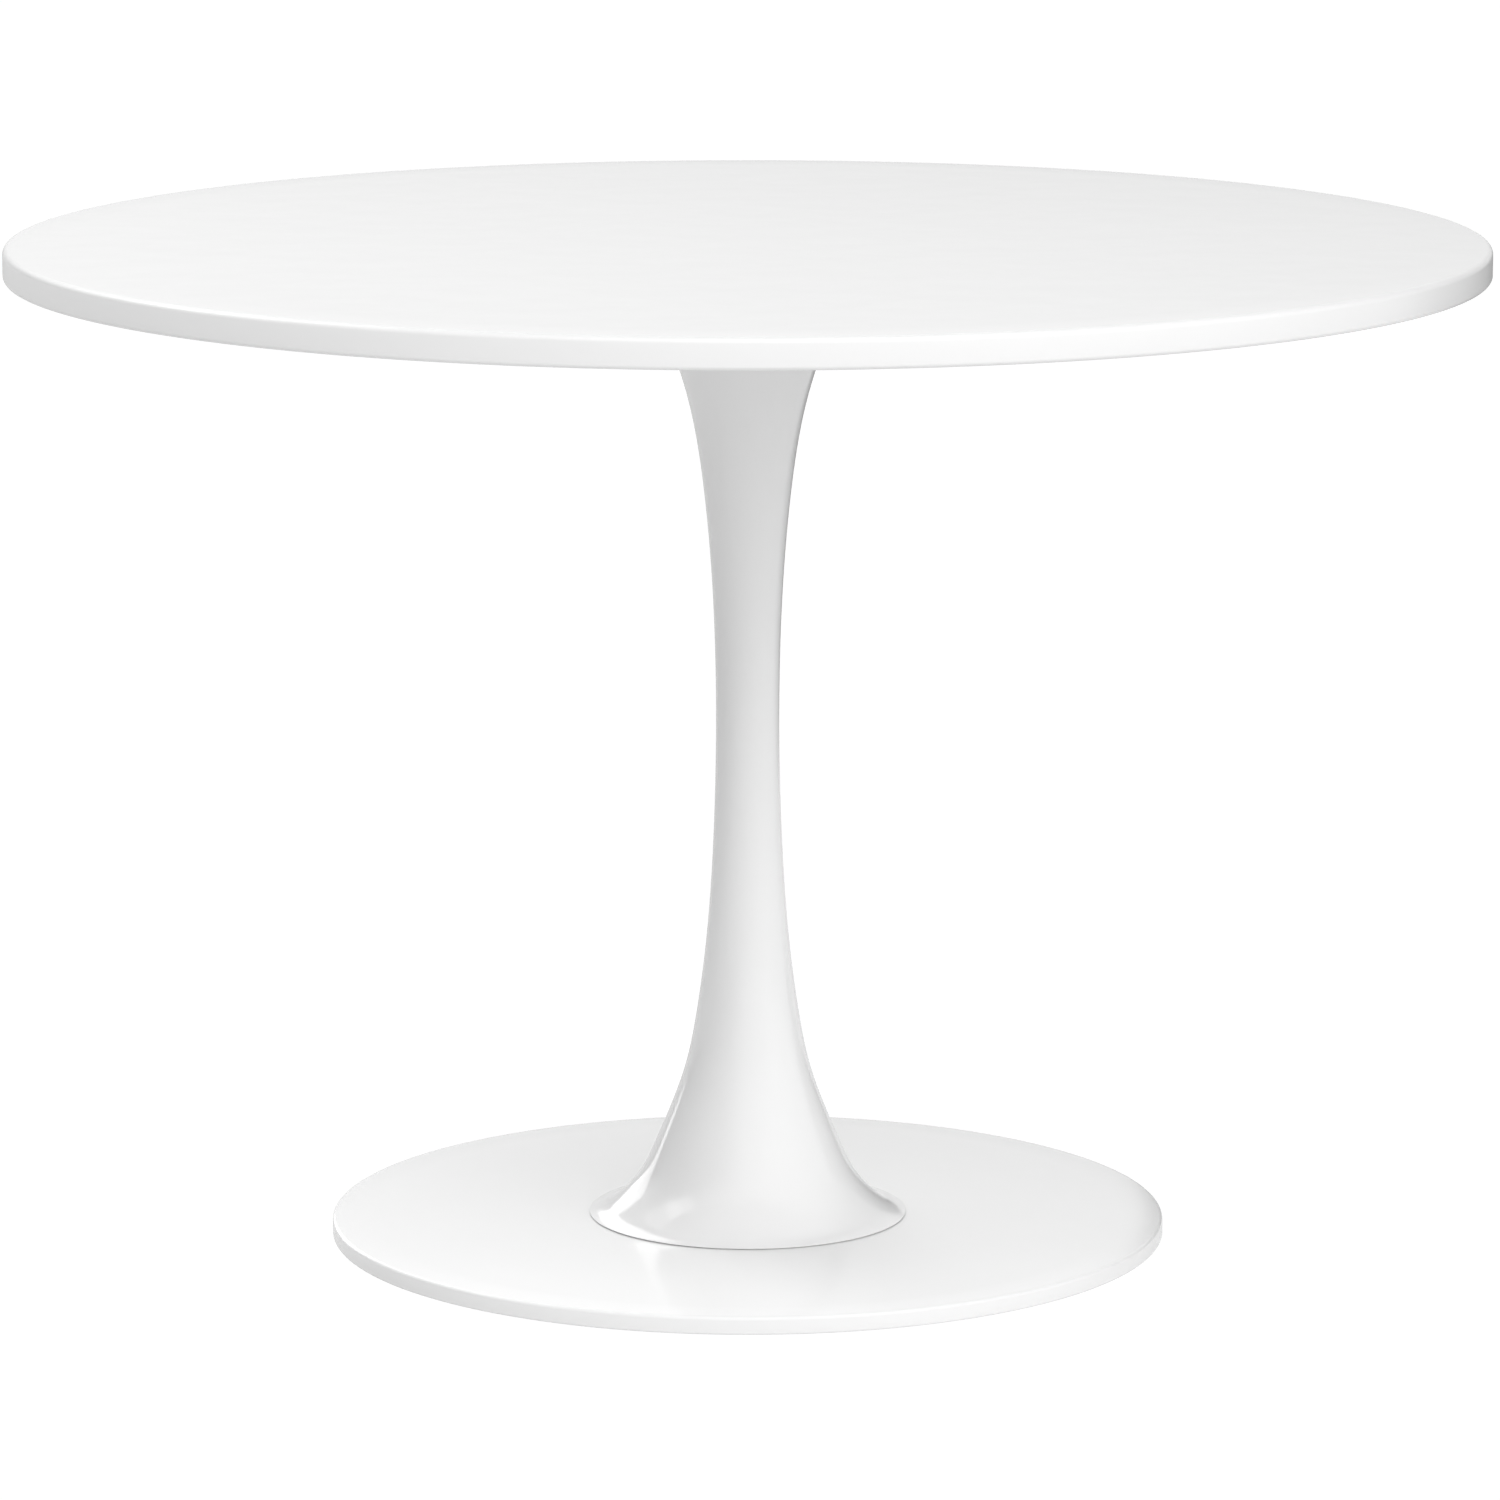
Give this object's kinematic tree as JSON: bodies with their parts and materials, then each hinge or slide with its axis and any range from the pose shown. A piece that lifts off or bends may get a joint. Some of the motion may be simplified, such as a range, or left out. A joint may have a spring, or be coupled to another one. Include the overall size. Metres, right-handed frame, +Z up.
{
  "type": "round pedestal table",
  "caption": "Round dining table: a white lacquered disc top on a slim trumpet column, clamped by a tie rod to a flat round steel base plate on floor glides.",
  "frame": {"origin": "on the table's vertical axis, at the floor plane under the glides", "axes": "+Z up along the column's axis; +X and +Y lie in the floor plane, and +X passes through the middle of one floor glide"},
  "size_m": [1.0669, 1.067, 0.733],
  "materials": {
    "top_lacquer": "satin white lacquer over fibreboard",
    "column_paint": "gloss white powder coat",
    "base_paint": "gloss white powder coat",
    "plate_paint": "satin white powder coat",
    "zinc": "bright zinc plate",
    "plain_steel": "plain rolled steel, lightly oiled",
    "insert_brass": "plain machined brass",
    "gasket_rubber": "matte pale grey silicone rubber",
    "glide_plastic": "matte off-white nylon"
  },
  "bodies": {
    "root": {"table_top": "top_lacquer", "top_inserts": "insert_brass", "mounting_plate": "plate_paint", "top_screws": "zinc", "top_washers": "zinc", "centring_disc": "plain_steel", "centring_screws": "zinc", "rod_washer": "zinc", "rod_nut": "zinc", "tie_rod": "zinc", "rim_gasket": "gasket_rubber", "column_shell": "column_paint", "foot_gasket": "gasket_rubber", "foot_plate": "plain_steel", "base_plate": "base_paint", "base_bolts": "zinc", "floor_glides": "glide_plastic"}
  },
  "joints": []
}
